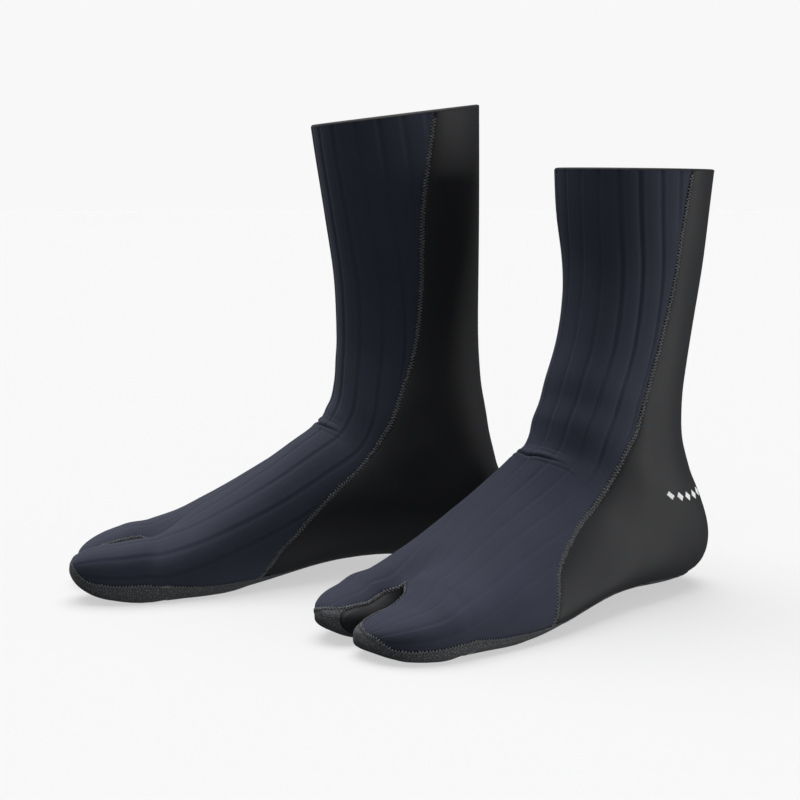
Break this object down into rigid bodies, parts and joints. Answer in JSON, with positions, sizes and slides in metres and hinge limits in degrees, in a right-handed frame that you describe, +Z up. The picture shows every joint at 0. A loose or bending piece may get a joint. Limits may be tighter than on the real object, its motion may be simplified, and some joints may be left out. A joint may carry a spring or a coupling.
{
  "type": "neoprene boots",
  "caption": "Split-toe neoprene boots for surfing and reef walking, with ribbed fronts, smooth heels, grippy soles and flexing ankles and toes.",
  "frame": {"origin": "middle of the box round both boots, on the ground", "axes": "-X roughly towards the toes, +Z up; both left sides face -Y, the left boot stands nearer -Y"},
  "size_m": [0.3936, 0.2673, 0.2948],
  "materials": {
    "ribbed_jersey": "navy-charcoal knitted jersey on neoprene, ribbed",
    "smooth_neoprene": "black, smooth, satin",
    "grip_sole": "charcoal grip fabric with fine dots",
    "thread": "flat overlock stitching"
  },
  "bodies": {
    "left_foot": {"left_instep_panel": "ribbed_jersey", "left_heel_panel": "smooth_neoprene", "left_sole_panel": "grip_sole", "left_ankle_front": "ribbed_jersey", "left_ankle_back": "smooth_neoprene", "left_inner_seam_foot": "thread", "left_outer_seam_foot": "thread", "left_inner_seam_ankle": "thread", "left_outer_seam_ankle": "thread", "left_sole_seam": "thread", "left_toe_web": "ribbed_jersey", "left_big_toe_band": "ribbed_jersey", "left_small_toes_band": "ribbed_jersey"},
    "left_shaft": {"left_shin_panel": "ribbed_jersey", "left_calf_panel": "smooth_neoprene", "left_inner_seam_shaft": "thread", "left_outer_seam_shaft": "thread"},
    "left_big_toe": {"left_big_toe_top": "ribbed_jersey", "left_big_toe_sole": "grip_sole", "left_big_toe_gusset": "smooth_neoprene", "left_big_toe_seam": "thread"},
    "left_small_toes": {"left_small_toes_top": "ribbed_jersey", "left_small_toes_sole": "grip_sole", "left_small_toes_gusset": "smooth_neoprene", "left_small_toes_seam": "thread"},
    "right_foot": {"right_instep_panel": "ribbed_jersey", "right_heel_panel": "smooth_neoprene", "right_sole_panel": "grip_sole", "right_ankle_front": "ribbed_jersey", "right_ankle_back": "smooth_neoprene", "right_inner_seam_foot": "thread", "right_outer_seam_foot": "thread", "right_inner_seam_ankle": "thread", "right_outer_seam_ankle": "thread", "right_sole_seam": "thread", "right_toe_web": "ribbed_jersey", "right_big_toe_band": "ribbed_jersey", "right_small_toes_band": "ribbed_jersey"},
    "right_shaft": {"right_shin_panel": "ribbed_jersey", "right_calf_panel": "smooth_neoprene", "right_inner_seam_shaft": "thread", "right_outer_seam_shaft": "thread"},
    "right_big_toe": {"right_big_toe_top": "ribbed_jersey", "right_big_toe_sole": "grip_sole", "right_big_toe_gusset": "smooth_neoprene", "right_big_toe_seam": "thread"},
    "right_small_toes": {"right_small_toes_top": "ribbed_jersey", "right_small_toes_sole": "grip_sole", "right_small_toes_gusset": "smooth_neoprene", "right_small_toes_seam": "thread"}
  },
  "joints": [
    {"name": "left_ankle_flex", "type": "hinge", "parent": "left_foot", "child": "left_shaft", "pos_m": [0.13318, 0.01357, 0.075], "axis": [0.6388, -0.7694, 0], "range_deg": [-25, 20], "stiffness_Nm_per_rad": 1, "deforming": ["left_ankle_front", "left_ankle_back", "left_inner_seam_ankle", "left_outer_seam_ankle"]},
    {"name": "left_big_toe_flex", "type": "hinge", "parent": "left_foot", "child": "left_big_toe", "pos_m": [-0.00691, -0.06504, 0.017], "axis": [-0.6388, 0.7694, 0], "range_deg": [-20, 30], "stiffness_Nm_per_rad": 0.2, "deforming": ["left_big_toe_band"]},
    {"name": "left_small_toes_flex", "type": "hinge", "parent": "left_foot", "child": "left_small_toes", "pos_m": [0.01609, -0.09274, 0.017], "axis": [-0.6388, 0.7694, 0], "range_deg": [-20, 30], "stiffness_Nm_per_rad": 0.2, "deforming": ["left_small_toes_band"]},
    {"name": "right_ankle_flex", "type": "hinge", "parent": "right_foot", "child": "right_shaft", "pos_m": [0.00692, 0.08545, 0.075], "axis": [0.299, -0.9542, 0], "range_deg": [-25, 20], "stiffness_Nm_per_rad": 1, "deforming": ["right_ankle_front", "right_ankle_back", "right_inner_seam_ankle", "right_outer_seam_ankle"]},
    {"name": "right_big_toe_flex", "type": "hinge", "parent": "right_foot", "child": "right_big_toe", "pos_m": [-0.14377, 0.00784, 0.017], "axis": [-0.299, 0.9542, 0], "range_deg": [-20, 30], "stiffness_Nm_per_rad": 0.2, "deforming": ["right_big_toe_band"]},
    {"name": "right_small_toes_flex", "type": "hinge", "parent": "right_foot", "child": "right_small_toes", "pos_m": [-0.15453, 0.04219, 0.017], "axis": [-0.299, 0.9542, 0], "range_deg": [-20, 30], "stiffness_Nm_per_rad": 0.2, "deforming": ["right_small_toes_band"]},
    {"name": "pair_slide", "type": "slide", "parent": "left_foot", "child": "right_foot", "axis": [0, 1, 0], "range_m": [0, 0.15]}
  ]
}
